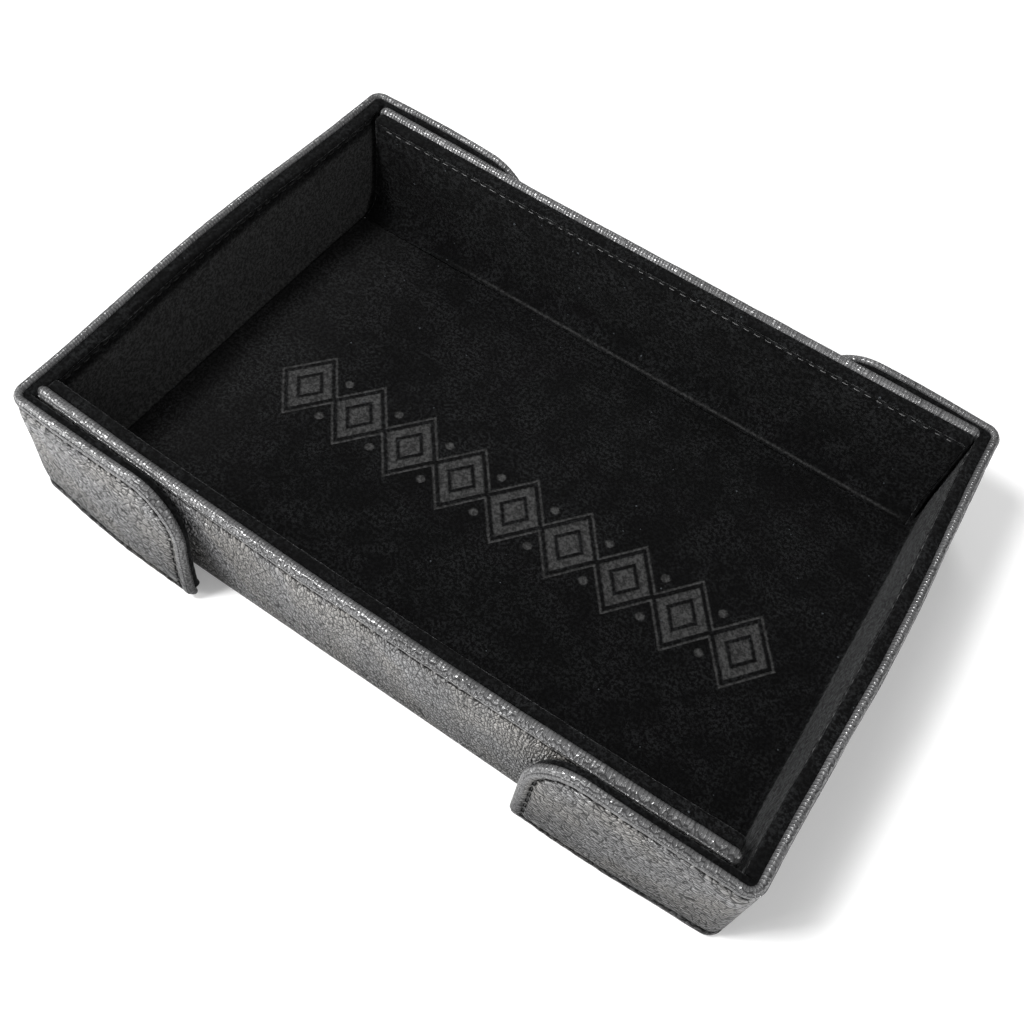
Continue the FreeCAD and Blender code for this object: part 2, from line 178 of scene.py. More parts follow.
class Panel:
    """A wall or flap. u runs along it, d inward from its leather face, z up."""

    def __init__(self, span, foot, rim, free, stitched, origin, along, inward, seed):
        self.start, self.end = span
        self.foot = foot
        self.rim = rim
        self.free = free
        self.stitched = stitched
        self.origin = np.array(origin, float)
        self.along = np.array(along, float)
        self.inward = np.array(inward, float)
        self.seed = seed
        self.tip = {"left": long_corner, "right": long_corner}
        self.toe = 0.0
        self.wraps = False
        # How the panel is skewed toward its foot, shifted and lengthened toward its top
        self.slant = 0.0
        self.slide = 0.0
        self.stretch = 0.0
        # How much light is painted on the lining, as the paler tone of flattened pile, and how far from its
        # face its foot is creased
        self.nap_and_painted_light = 0.0
        self.crease = 0.0
        self.piping = 0.40 * MM

    def outward_push(self, u, z):
        """How far the panel stands out of its plane, which it does all through."""
        return np.zeros_like(u)

    def calm(self, u):
        """0 where the panel meets the next one, so that both run on evenly, and 1 elsewhere."""
        if "left" in self.free:
            return np.ones_like(u)
        from_joint = u - self.start
        if "right" not in self.free:
            from_joint = np.minimum(from_joint, self.end - u)
        return smooth_step(from_joint, 0, 6 * MM)

    def place(self, points):
        """World places of points in the panel's own frame."""
        u, d, z = points[:, 0].copy(), points[:, 1].copy(), points[:, 2]
        d -= self.outward_push(u, z)
        u += self.slant * (1 - z / height) * np.clip(u / self.end, 0, 1) ** 2
        u += (self.slide + self.stretch * u / self.end) * z / height
        if not self.wraps:
            flat = self.origin + np.outer(u, self.along) + np.outer(d, self.inward)
            flat[:, 2] += z
            return settle(flat)
        angle = np.clip(-u / corner_radius, 0, math.pi / 2)
        reach = corner_radius - d
        bent = u < 0
        along = np.where(bent, -reach * np.sin(angle), u)
        across = np.where(bent, corner_radius - reach * np.cos(angle), d)
        world = self.origin + np.outer(along, self.along) + np.outer(across, self.inward)
        world[:, 2] += z
        return settle(world)

    def mirrored(self):
        return np.cross(self.along, self.inward)[2] < 0

    def edge_distance(self, u, z):
        """Distance from the nearest stitched edge, and the way run along that edge."""
        top = height - z
        if self.stitched == "top":
            return top, u
        right = self.end - u
        bottom = z - self.foot
        radius = self.tip["right"]
        turn_u, turn_z = self.end - radius, height - radius
        in_tip = (u > turn_u) & (z > turn_z)
        angle = np.arctan2(np.maximum(u - turn_u, 0), np.maximum(z - turn_z, 1e-9))
        lane = radius - stitch_inset
        after_tip = turn_u + lane * math.pi / 2
        after_side = after_tip + turn_z - self.foot - stitch_inset
        distance = np.minimum(np.minimum(top, right), bottom)
        way = np.where(top <= distance, u, after_tip + turn_z - z)
        way = np.where(bottom <= distance, after_side + self.end - stitch_inset - u, way)
        distance = np.where(in_tip, radius - np.hypot(u - turn_u, z - turn_z), distance)
        return distance, np.where(in_tip, turn_u + lane * angle, way)

    def first_stitch(self):
        """The way along the seam to the middle of its first stitch."""
        if self.stitched != "top":
            return 0.6 * stitch_pitch
        return (self.start + self.end - self.top_gaps() * stitch_pitch) / 2

    def top_gaps(self):
        """How many gaps the top row of stitches has; a wall with free ends keeps them clear."""
        kept_clear = 3 if "left" in self.free else 1
        return int((self.end - self.start) / stitch_pitch) - kept_clear

    def seam_line(self):
        """Places and directions of the stitches, as (u, z, step in u, step in z)."""
        top = height - stitch_inset
        if self.stitched == "top":
            count = self.top_gaps()
            first = self.first_stitch()
            return [(first + k * stitch_pitch, top, 1.0, 0.0) for k in range(count + 1)]
        radius = self.tip["right"]
        turn_u, turn_z = self.end - radius, height - radius
        lane = radius - stitch_inset
        low = self.foot + stitch_inset
        after_tip = turn_u + lane * math.pi / 2
        after_side = after_tip + turn_z - low
        total = after_side + self.end - stitch_inset
        spots = []
        for k in range(int(total / stitch_pitch)):
            way = stitch_pitch * k + self.first_stitch()
            if way < turn_u:
                spots.append((way, top, 1.0, 0.0))
            elif way < after_tip:
                angle = (way - turn_u) / lane
                spots.append((
                    turn_u + lane * math.sin(angle), turn_z + lane * math.cos(angle),
                    math.cos(angle), -math.sin(angle),
                ))
            elif way < after_side:
                spots.append((self.end - stitch_inset, turn_z - (way - after_tip), 0.0, -1.0))
            else:
                spots.append((self.end - stitch_inset - (way - after_side), low, -1.0, 0.0))
        return spots


def outline(panel, inset):
    """Columns of a panel's face grid: where they stand, how high and how low they reach."""
    places = [np.arange(panel.start, panel.end, column_step)]
    low, high = panel.start, panel.end
    turns = np.linspace(0, math.pi / 2, 16)
    for side, way in (("left", -1), ("right", 1)):
        if side not in panel.free:
            continue
        edge = panel.start if way < 0 else panel.end
        places.append(edge - way * panel.tip[side] + way * (panel.tip[side] - inset) * np.sin(turns))
        if way > 0 and panel.toe:
            places.append(edge - panel.toe + (panel.toe - inset) * np.sin(turns[::3]))
        low, high = (low + inset, high) if way < 0 else (low, high - inset)
    u = np.unique(np.round(np.concatenate(places + [np.array([low, high])]), 7))
    u = np.clip(u[(u > low - 1e-6) & (u < high + 1e-6)], low, high)
    top = np.full_like(u, height - inset)
    bottom = np.full_like(u, panel.foot + (inset if "bottom" in panel.free else 0))
    for side, way in (("left", -1), ("right", 1)):
        if side not in panel.free:
            continue
        edge = panel.start if way < 0 else panel.end
        toe = panel.toe if way > 0 else 0
        for radius, level, sign in ((panel.tip[side], height, 1), (toe, panel.foot, -1)):
            if not radius:
                continue
            beyond = np.maximum((u - (edge - way * radius)) * way, 0)
            rise = np.sqrt(np.maximum((radius - inset) ** 2 - beyond ** 2, 0))
            curved = level - sign * radius + sign * rise
            if sign > 0:
                top = np.where(beyond > 0, curved, top)
            else:
                bottom = np.where(beyond > 0, curved, bottom)
    return u, bottom, top


class Skin:
    """A grid that covers one side of a panel and rolls round its free edges."""

    def __init__(self, panel, inset, depth, facing, roll, rows, fold=()):
        """facing is -1 for leather, which looks outward, and 1 for velvet.

        roll lists (turn, out, back) of the rings that go round the free edge. fold lists
        (d, z, back in d, back in z, thinness) of the rows below the panel's foot.
        """
        self.panel = panel
        u, bottom, top = outline(panel, inset)
        share = np.array(rows)
        flat_u, flat_share = np.meshgrid(u, share, indexing="ij")
        z = bottom[:, None] + (top - bottom)[:, None] * flat_share
        points = np.stack([flat_u, np.full_like(z, depth), z], axis=-1)
        back = np.zeros_like(points)
        back[..., 1] = -facing
        thin = np.ones_like(z)
        if fold:
            bend = np.array(fold, float)[::-1]
            lower = np.zeros((len(u), len(bend), 3))
            lower[..., 0] = u[:, None]
            lower[..., 1] = bend[:, 0]
            lower[..., 2] = bend[:, 1]
            lower_back = np.zeros_like(lower)
            lower_back[..., 1] = bend[:, 2]
            lower_back[..., 2] = bend[:, 3]
            points = np.concatenate([lower, points], axis=1)
            back = np.concatenate([lower_back, back], axis=1)
            thin = np.concatenate([np.tile(bend[:, 4], (len(u), 1)), thin], axis=1)
        self.columns, self.rows = points.shape[:2]
        path, normals = self.boundary(points, top, bottom, inset, len(fold))
        grid = points.reshape(-1, 3)
        grid_back = back.reshape(-1, 3)
        rings = [grid]
        fronts = [-grid_back]
        backs = [np.zeros(len(grid))]
        for turn, out, behind in roll:
            ring = grid[path] + normals * out + grid_back[path] * (behind * thin.reshape(-1)[path])[:, None]
            rings.append(ring)
            fronts.append(normals * math.sin(turn) - grid_back[path] * math.cos(turn))
            backs.append(np.full(len(path), float(turn)))
        self.points = np.concatenate(rings)
        self.fronts = np.concatenate(fronts)
        self.turned = np.concatenate(backs)
        self.faces = self.weave(path, len(roll))
        if (facing > 0) != panel.mirrored():
            self.faces = [face[::-1] for face in self.faces]
        fold_part = np.clip(panel.foot - self.points[:, 2], 0, None)
        self.flat_z = self.points[:, 2] - np.where(fold_part > 0, np.abs(self.points[:, 1] - depth), 0)

    def boundary(self, points, top, bottom, inset, folded):
        """Grid indices along the free edges, with the way out at each."""
        panel = self.panel
        last, high = self.columns - 1, self.rows - 1
        path, ways = [], []

        def index(i, j):
            return i * self.rows + j

        u = points[:, -1, 0]
        if "left" in panel.free:
            for j in range(high):
                path.append(index(0, j))
                ways.append((-1, 0, 0))
        for i in range(self.columns):
            way = (0, 0, 1)
            for side, sign in (("left", -1), ("right", 1)):
                if side in panel.free:
                    radius = panel.tip[side]
                    middle = (panel.start if sign < 0 else panel.end) - sign * radius
                    beyond = (u[i] - middle) * sign
                    if beyond > 1e-9:
                        rise = top[i] - (height - radius)
                        length = math.hypot(beyond, rise)
                        way = (sign * beyond / length, 0, rise / length)
            path.append(index(i, high))
            ways.append(way)
        if "right" in panel.free:
            stop = 0 if "bottom" in panel.free else -1
            for j in range(high - 1, stop, -1):
                path.append(index(last, j))
                ways.append((1, 0, 0))
        if "bottom" in panel.free:
            middle = panel.end - panel.toe
            for i in range(last, -1, -1):
                beyond = u[i] - middle
                way = (0, 0, -1)
                if beyond > 1e-9:
                    drop = panel.foot + panel.toe - bottom[i]
                    length = math.hypot(beyond, drop)
                    way = (beyond / length, 0, -drop / length)
                path.append(index(i, 0))
                ways.append(way)
        return np.array(path), np.array(ways, float)

    def weave(self, path, rings):
        faces = []
        for i in range(self.columns - 1):
            for j in range(self.rows - 1):
                a = i * self.rows + j
                b = (i + 1) * self.rows + j
                faces.append((a, b, b + 1, a + 1))
        before = list(path)
        first = self.columns * self.rows
        for ring in range(rings):
            after = list(range(first + ring * len(path), first + (ring + 1) * len(path)))
            for k in range(len(path) - 1):
                faces.append((before[k], after[k], after[k + 1], before[k + 1]))
            before = after
        return faces

    def push(self, amount):
        """Move the surface along its own outward direction."""
        self.points = self.points + self.fronts * np.asarray(amount)[:, None]


def make_mesh(name, points, faces, material, uvs=None, marks=None):
    """A smooth mesh object with its material, texture places and named marks."""
    mesh = bpy.data.meshes.new(name)
    mesh.from_pydata([tuple(p) for p in points], [], [tuple(f) for f in faces])
    if uvs is not None:
        layer = mesh.uv_layers.new(name="hide")
        corners = np.empty(len(mesh.loops), np.int32)
        mesh.loops.foreach_get("vertex_index", corners)
        layer.data.foreach_set("uv", np.asarray(uvs, np.float32)[corners].reshape(-1))
    for mark, values in (marks or {}).items():
        attribute = mesh.attributes.new(mark, "FLOAT", "POINT")
        attribute.data.foreach_set("value", np.asarray(values, np.float32))
    mesh.polygons.foreach_set("use_smooth", [True] * len(mesh.polygons))
    mesh.materials.append(material)
    mesh.update()
    thing = bpy.data.objects.new(name, mesh)
    bpy.context.scene.collection.objects.link(thing)
    return thing


# Materials

def new_material(name):
    material = bpy.data.materials.new(name)
    material.use_nodes = True
    tree = material.node_tree
    tree.nodes.clear()
    out = tree.nodes.new("ShaderNodeOutputMaterial")
    shader = tree.nodes.new("ShaderNodeBsdfPrincipled")
    tree.links.new(shader.outputs[0], out.inputs["Surface"])
    return material, tree, shader


class Nodes:
    """Short calls that add nodes to a tree and join them."""

    def __init__(self, tree):
        self.tree = tree

    def put(self, socket, value):
        if isinstance(value, bpy.types.NodeSocket):
            self.tree.links.new(value, socket)
        else:
            socket.default_value = value

    def math(self, operation, a, b):
        node = self.tree.nodes.new("ShaderNodeMath")
        node.operation = operation
        self.put(node.inputs[0], a)
        self.put(node.inputs[1], b)
        return node.outputs[0]

    def times(self, a, b):
        return self.math("MULTIPLY", a, b)

    def plus(self, a, b):
        return self.math("ADD", a, b)

    def ramp(self, value, low, high, out_low=0.0, out_high=1.0):
        node = self.tree.nodes.new("ShaderNodeMapRange")
        node.interpolation_type = "SMOOTHSTEP"
        for socket, number in zip(node.inputs, (value, low, high, out_low, out_high)):
            self.put(socket, number)
        return node.outputs[0]

    def scaled(self, vector, scale):
        node = self.tree.nodes.new("ShaderNodeMapping")
        self.put(node.inputs["Vector"], vector)
        node.inputs["Scale"].default_value = scale
        return node.outputs[0]

    def noise(self, vector, scale, detail=2.0, rough=0.5):
        node = self.tree.nodes.new("ShaderNodeTexNoise")
        self.put(node.inputs["Vector"], vector)
        node.inputs["Scale"].default_value = scale
        node.inputs["Detail"].default_value = detail
        node.inputs["Roughness"].default_value = rough
        return node.outputs["Fac"]

    def cells(self, vector, randomness=1.0):
        """Distance to the nearest edge of cells of about one unit."""
        node = self.tree.nodes.new("ShaderNodeTexVoronoi")
        node.feature = "DISTANCE_TO_EDGE"
        self.put(node.inputs["Vector"], vector)
        node.inputs["Scale"].default_value = 1.0
        node.inputs["Randomness"].default_value = randomness
        return node.outputs["Distance"]

    def mix(self, share, a, b):
        node = self.tree.nodes.new("ShaderNodeMix")
        node.data_type = "RGBA"
        self.put(node.inputs[0], share)
        self.put(node.inputs[6], a)
        self.put(node.inputs[7], b)
        return node.outputs[2]

    def bump(self, height_value, distance, strength=1.0):
        node = self.tree.nodes.new("ShaderNodeBump")
        node.inputs["Strength"].default_value = strength
        node.inputs["Distance"].default_value = distance
        self.put(node.inputs["Height"], height_value)
        return node.outputs[0]

    def blend(self, share, a, b):
        node = self.tree.nodes.new("ShaderNodeMix")
        self.put(node.inputs[0], share)
        self.put(node.inputs[2], a)
        self.put(node.inputs[3], b)
        return node.outputs[0]

    def mark(self, name):
        node = self.tree.nodes.new("ShaderNodeAttribute")
        node.attribute_name = name
        return node.outputs["Fac"]

    def uv(self):
        node = self.tree.nodes.new("ShaderNodeUVMap")
        node.uv_map = "hide"
        return node.outputs[0]

    def place(self):
        return self.tree.nodes.new("ShaderNodeTexCoord").outputs["Object"]


def leather_material():
    """Black pebbled leather: elongated grain, crinkled where it rolls round an edge.

    The scales count features to the metre, along the panel and up it.
    """
    grain_scale, fold_scale, fine_scale = (430, 900, 1), (300, 1000, 1), (1300, 1900, 1)
    warp_scale, warp_reach = (210, 300, 1), (0.0, 0.0022, 0.0)
    crinkle_scale, crinkle_randomness = (860, 230, 1), 0.45
    blotch_scale, warmth_scale = (30, 50, 1), (38, 60, 1)
    bump_height = 0.00066
    full_rise = 0.96
    dark = (0.003, 0.003, 0.003, 1.0)
    cool = (0.224, 0.224, 0.229, 1.0)
    warm = (0.252, 0.241, 0.226, 1.0)
    material, tree, shader = new_material("leather")
    nodes = Nodes(tree)

    # Where the grain lies: on the face from the texture places, on a rim along its edge
    flat = nodes.uv()
    drift = tree.nodes.new("ShaderNodeVectorMath")
    drift.operation = "MULTIPLY_ADD"
    nodes.put(drift.inputs[0], nodes.noise(nodes.scaled(flat, warp_scale), 1.0, 2.0))
    drift.inputs[1].default_value = warp_reach
    nodes.put(drift.inputs[2], flat)
    drifted = drift.outputs[0]
    rim = tree.nodes.new("ShaderNodeCombineXYZ")
    nodes.put(rim.inputs[0], nodes.mark("edge_way"))
    nodes.put(rim.inputs[1], nodes.mark("edge_depth"))
    roll = nodes.mark("roll")

    # Height
    grain = nodes.cells(nodes.scaled(drifted, grain_scale))
    fine = nodes.noise(nodes.scaled(flat, fine_scale), 1.0, 3.0, 0.6)
    folds = nodes.noise(nodes.scaled(drifted, fold_scale), 1.0, 3.0, 0.7)
    ridges = nodes.cells(nodes.scaled(rim.outputs[0], crinkle_scale), crinkle_randomness)
    dome = nodes.ramp(grain, 0.0, 0.50)
    swelling = nodes.ramp(ridges, 0.0, 0.42)
    face_height = nodes.plus(dome, nodes.times(fine, 0.12))
    face_height = nodes.plus(face_height, nodes.times(folds, 0.50))
    rim_height = nodes.plus(nodes.times(swelling, 0.30), nodes.times(fine, 0.01))
    relief = nodes.blend(roll, face_height, rim_height)
    nodes.put(shader.inputs["Normal"], nodes.bump(relief, bump_height))

    # Colour: grain tone with painted shade in the grain's creases and the rim's crinkle grooves, painted
    # shade in the seam and toward the foot, warmer in places
    # crease and crinkle darken the grain's creases and the rim's grooves: painted shade, times the grain's
    # own tone
    crease = nodes.ramp(grain, 0.0, 0.17)
    crinkle = nodes.ramp(ridges, 0.0, 0.12)
    face_tone = nodes.times(nodes.ramp(crease, 0, 1, 0.10, 1.0), nodes.ramp(folds, 0.38, 0.60, 0.45, 1.0))
    rim_tone = nodes.times(nodes.ramp(crinkle, 0, 1, 0.35, 1.0), nodes.ramp(fine, 0.3, 0.7, 0.35, 0.47))
    lit = nodes.blend(roll, face_tone, rim_tone)
    blotch = nodes.noise(nodes.scaled(flat, blotch_scale), 1.0, 3.0)
    warmth = nodes.noise(nodes.scaled(flat, warmth_scale), 1.0, 2.0)
    warm_share = nodes.times(nodes.ramp(warmth, 0.4, 0.6), nodes.ramp(roll, 0.0, 1.0, 1.0, 0.0))
    # Painted shade in the stitch groove and in a band beside it, in colour and in shine
    seam = nodes.ramp(nodes.mark("seam"), 0.12, 0.6, 1.0, 0.03)
    # Painted shade: colour and shine grow darker toward the foot, by the rise mark
    rise = nodes.mark("rise")
    face_shade = nodes.ramp(rise, 0.0, full_rise, 0.30, 1.10)
    rim_shade = nodes.ramp(rise, 0.0, full_rise, 0.50, 1.00)
    shade = nodes.blend(roll, face_shade, rim_shade)
    tone = nodes.times(nodes.times(lit, nodes.ramp(blotch, 0.3, 0.7, 0.62, 1.04)), seam)
    tone = nodes.times(tone, shade)
    nodes.put(shader.inputs["Base Color"], nodes.mix(tone, dark, nodes.mix(warm_share, cool, warm)))

    # Shine, with painted shade: less of it in the creases, the stitch groove and toward the foot
    rough = nodes.plus(nodes.ramp(crease, 0.0, 1.0, 0.52, 0.34), nodes.times(roll, -0.12))
    nodes.put(shader.inputs["Roughness"], rough)
    shine = nodes.times(nodes.ramp(lit, 0.0, 0.45, 0.15, 1.0), nodes.ramp(rise, 0.0, full_rise, 0.12, 1.0))
    nodes.put(shader.inputs["Specular IOR Level"], nodes.times(seam, shine))
    return material


def velvet_material():
    """Short black pile, paler where it is seen edge on and where it is pressed flat; the same pressed tone
    also carries painted light.
    """
    pile_scale, nap_scale, lint_scale = 850.0, 95.0, 700.0
    pile_height = 0.0003
    deep = (0.0004, 0.0004, 0.0005, 1.0)
    raised = (0.0104, 0.0109, 0.0114, 1.0)
    pressed_deep = (0.019, 0.019, 0.019, 1.0)
    pressed_raised = (0.055, 0.055, 0.055, 1.0)
    lint_tone = (0.05, 0.055, 0.06, 1.0)
    sheen_tint = (0.97, 0.99, 1.0, 1.0)
    material, tree, shader = new_material("velvet")
    nodes = Nodes(tree)
    place = nodes.place()
    pile = nodes.noise(place, pile_scale, 4.0, 0.8)
    nap_and_painted_light = nodes.noise(place, nap_scale, 4.0, 0.6)
    lint = nodes.noise(place, lint_scale, 0.0)
    share = nodes.times(nodes.ramp(pile, 0.46, 0.58), nodes.ramp(nap_and_painted_light, 0.35, 0.65, 0.2, 1.0))
    colour = nodes.mix(share, deep, raised)
    pressed_tone = nodes.mix(nodes.ramp(pile, 0.42, 0.60), pressed_deep, pressed_raised)
    # The pressed mark holds the pressed ornament and also painted light on the left wall's lining and the
    # floor's left end
    colour = nodes.mix(nodes.mark("pressed"), colour, pressed_tone)
    colour = nodes.mix(nodes.ramp(lint, 0.86, 0.88), colour, lint_tone)
    nodes.put(shader.inputs["Base Color"], colour)
    shader.inputs["Roughness"].default_value = 0.95
    shader.inputs["Specular IOR Level"].default_value = 0.12
    nodes.put(shader.inputs["Sheen Weight"], nodes.ramp(pile, 0.40, 0.62, 0.02, 0.17))
    shader.inputs["Sheen Roughness"].default_value = 0.38
    shader.inputs["Sheen Tint"].default_value = sheen_tint
    nodes.put(shader.inputs["Normal"], nodes.bump(pile, pile_height, 0.8))
    return material


def thread_material(name, low, high):
    """Twisted thread, from its dark grooves to its lit strands."""
    material, tree, shader = new_material(name)
    nodes = Nodes(tree)
    twist = tree.nodes.new("ShaderNodeTexWave")
    twist.wave_type = "BANDS"
    twist.bands_direction = "DIAGONAL"
    nodes.put(twist.inputs["Vector"], nodes.scaled(nodes.place(), (1400, 1400, 1400)))
    twist.inputs["Scale"].default_value = 1.0
    fac = twist.outputs["Fac"]
    nodes.put(shader.inputs["Base Color"], nodes.mix(fac, (low, low, low, 1), (high, high, high, 1)))
    shader.inputs["Roughness"].default_value = 0.45
    nodes.put(shader.inputs["Normal"], nodes.bump(fac, 0.0001, 0.7))
    return material


def board_material():
    """Black pressed board with fibres."""
    material, tree, shader = new_material("board")
    nodes = Nodes(tree)
    place = nodes.place()
    fibre = nodes.noise(nodes.scaled(place, (300, 1500, 900)), 1.0, 4.0, 0.7)
    fleck = nodes.noise(place, 700.0, 1.0)
    colour = nodes.mix(fibre, (0.018, 0.018, 0.018, 1), (0.036, 0.035, 0.034, 1))
    colour = nodes.mix(nodes.ramp(fleck, 0.66, 0.74), colour, (0.060, 0.058, 0.055, 1))
    nodes.put(shader.inputs["Base Color"], colour)
    shader.inputs["Roughness"].default_value = 0.85
    nodes.put(shader.inputs["Normal"], nodes.bump(fibre, 0.0002, 0.5))
    return material


def magnet_material():
    """Plated metal bar with fine scratches."""
    material, tree, shader = new_material("magnet")
    nodes = Nodes(tree)
    scratch = nodes.noise(nodes.scaled(nodes.place(), (200, 4000, 200)), 1.0, 3.0)
    nodes.put(shader.inputs["Base Color"], nodes.mix(scratch, (0.55, 0.55, 0.56, 1), (0.72, 0.72, 0.74, 1)))
    nodes.put(shader.inputs["Roughness"], nodes.ramp(scratch, 0.3, 0.7, 0.18, 0.34))
    shader.inputs["Metallic"].default_value = 1.0
    return material


materials = {
    "leather": leather_material(),
    "velvet": velvet_material(),
    "thread": thread_material("thread", 0.002, 0.010),
    "lit_thread": thread_material("lit_thread", 0.03, 0.24),
    "board": board_material(),
    "magnet": magnet_material(),
}


# The walls and flaps

def half_roll(radius, steps=8):
    """Rings of a leather edge that rolls round to the back and turns in."""
    turns = [math.pi * k / steps for k in range(1, steps + 1)]
    rings = [(turn, radius * math.sin(turn), radius * (1 - math.cos(turn))) for turn in turns]
    for inward in (1.5 * MM, turned_edge):
        rings.append((math.pi, -inward, 2 * radius))
    return rings


def quarter_roll(radius, depth, steps=5):
    """Rings of a velvet pad's soft edge, and its side down to the leather."""
    turns = [math.pi / 2 * k / steps for k in range(1, steps + 1)]
    rings = [(turn, radius * math.sin(turn), radius * (1 - math.cos(turn))) for turn in turns]
    rings.append((math.pi / 2, radius, depth))
    return rings


def shares(size, step):
    count = max(int(round(size / step)), 2)
    return [k / count for k in range(count + 1)]


def cover_fold_rows(rim, reach):
    """Rows of leather from the wall's foot, round the fold and on under the floor."""
    rows = []
    for k in range(1, 8):
        turn = math.pi / 2 * k / 7
        rows.append((
            fold_radius * (1 - math.cos(turn)), fold_radius * (1 - math.sin(turn)),
            math.cos(turn), math.sin(turn), leather / rim,
        ))
    steps = max(int((reach - fold_radius) / (1.2 * MM)), 2)
    for k in range(1, steps + 1):
        rows.append((fold_radius + (reach - fold_radius) * k / steps, 0.0, 0.0, 1.0, leather / rim))
    return rows


def velvet_fold_rows(face, foot, radius, depth):
    """Rows of velvet that sweep from the wall's foot to the floor."""
    rows = []
    steps = max(int(radius * math.pi / 2 / (0.8 * MM)), 3)
    for k in range(1, steps + 1):
        turn = math.pi / 2 * k / steps
        rows.append((
            face + radius * (1 - math.cos(turn)), foot - radius * math.sin(turn),
            -math.cos(turn), -math.sin(turn), 1.5 * MM / depth,
        ))
    return rows


def leather_surface(skin, panel):
    """Stitched groove, piped edge, puckers and slow waves of a leather cover."""
    u, z = skin.points[:, 0], np.minimum(skin.points[:, 2], height)
    distance, way = panel.edge_distance(u, z)
    on_face = skin.turned < 0.01
    calm = panel.calm(u)
    beat = np.cos((way - panel.first_stitch()) / stitch_pitch * 2 * math.pi) * calm
    groove = -(0.58 + 0.22 * beat) * MM * bell(distance, stitch_inset, groove_width)
    pucker = -0.07 * MM * beat * bell(distance, stitch_inset - 1.5 * MM, 1.0 * MM)
    pipe = panel.piping * bell(distance, 2.0 * MM, 1.25 * MM) + pucker
    fill = 0.35 * MM * smooth_step(distance, stitch_inset, stitch_inset + 4 * MM)
    slow = 0.22 * MM * noise(u / (17 * MM), z / (13 * MM), panel.seed) * calm
    slow = slow + 0.08 * MM * noise(u / (4.3 * MM), z / (3.1 * MM), panel.seed + 5) * calm
    upright = smooth_step(z, panel.foot, panel.foot + 3 * MM)
    if "bottom" in panel.free:
        upright = np.ones_like(z)
    face_push = (groove + pipe + fill) * upright + slow * upright
    lumps = 0.02 * MM * noise(way / (1.1 * MM), skin.turned * 1.2, panel.seed + 9) * calm
    edge_wave = 0.08 * MM * noise(way / (9 * MM), 0 * way, panel.seed + 3) * calm
    rim_push = lumps + edge_wave + 0.3 * panel.piping * np.abs(np.sin(skin.turned))
    skin.push(np.where(on_face, face_push, rim_push))
    depth = np.where(on_face, distance, -skin.turned * 1.5 * MM)
    roll = np.where(on_face, 1 - smooth_step(distance, 1.6 * MM, 3.6 * MM), 1.0)
    # The seam mark is painted shade: in the stitch groove, darkest at the stitches, and in a band between
    # the groove and the edge
    dash = smooth_step(beat, -0.9, -0.2) * calm + (1 - calm) * 0.6
    seam = (0.30 + 0.70 * dash) * bell(distance, stitch_inset, seam_shade_width)
    seam = np.maximum(seam, 0.30 * bell(distance, stitch_inset - 1.0 * MM, 0.8 * MM))
    seam = np.where(on_face, seam, 0.0)
    # rise, the share of the height, drives the painted shade toward the foot
    rise = np.clip(z / height, 0, 1)
    return {"roll": roll, "edge_way": way, "edge_depth": depth, "seam": seam, "rise": rise}


def build_leather(name, panel, fold=(), swap=False):
    radius = panel.rim / 2
    rows = shares(height - panel.foot, leather_row)
    skin = Skin(panel, radius, 0.0, -1, half_roll(radius), rows, fold)
    marks = leather_surface(skin, panel)
    uvs = np.stack([skin.points[:, 0], skin.flat_z + skin.turned * radius], axis=1)
    if swap:
        uvs = uvs[:, ::-1]
    return make_mesh(name, panel.place(skin.points), skin.faces, materials["leather"], uvs, marks)


def build_velvet(name, panel, face, foot, fold=(), step=velvet_row):
    """Velvet pad on the inside of a panel, from its own foot up."""
    old_foot = panel.foot
    panel.foot = foot
    pad = face - panel.rim
    inset = velvet_inset + velvet_round
    rows = shares(height - foot, step)
    skin = Skin(panel, inset, face, 1, quarter_roll(velvet_round, pad), rows, fold)
    u, depth, z = skin.points[:, 0], skin.points[:, 1].copy(), skin.points[:, 2]
    distance, way = panel.edge_distance(u, z)
    on_face = skin.turned < 0.01
    beat = np.cos(way / stitch_pitch * 2 * math.pi)
    groove = -(0.30 + 0.12 * beat) * MM * bell(distance, stitch_inset, 0.7 * MM)
    slow = 0.18 * MM * noise(u / (21 * MM), z / (12 * MM), panel.seed + 20)
    fuzz = 0.06 * MM * noise(u / (1.1 * MM), z / (1.1 * MM), panel.seed + 31)
    calm = panel.calm(u)
    quiet_push = np.where(on_face, groove, 0.0)
    full_push = np.where(on_face, groove + slow, 0.0) + fuzz
    skin.push(full_push * calm + (1 - calm) * quiet_push)
    panel.foot = old_foot
    # Painted light: below its top 6 to 9 mm the lining takes the panel's share of the paler pressed-pile
    # tone
    marks = {"pressed": panel.nap_and_painted_light * (1 - smooth_step(z, height - 9 * MM, height - 6 * MM))}
    if panel.crease:
        crease_start, crease_end = (-90 * MM, -40 * MM), (105 * MM, 122 * MM)
        crease_tone, crease_width = 0.7, 0.3 * MM
        run = smooth_step(u, *crease_start) * (1 - smooth_step(u, *crease_end))
        marks["pressed"] = crease_tone * run * bell(depth, face + panel.crease, crease_width)
    return make_mesh(name, panel.place(skin.points), skin.faces, materials["velvet"], None, marks)


def build_board(node, panel, body):
    """Stiff board inside a cover, bent with it."""
    edge = leather + board_play
    wrapped = panel.start
    if panel.wraps:
        panel.start = flap_board_start
    rows = shares(height, board_row)
    skin = Skin(panel, edge, leather, -1, [(math.pi / 2, 0.0, panel.rim - 2 * leather)], rows)
    points = panel.place(skin.points)
    board = make_mesh(f"{node}_sheet", points, skin.faces, materials["board"])
    back = Skin(panel, edge, panel.rim - leather, 1, [], rows)
    panel.start = wrapped
    backing = make_mesh(f"{node}_back", panel.place(back.points), back.faces, materials["board"])
    for piece in (board, backing):
        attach(piece, body)
    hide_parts(node)


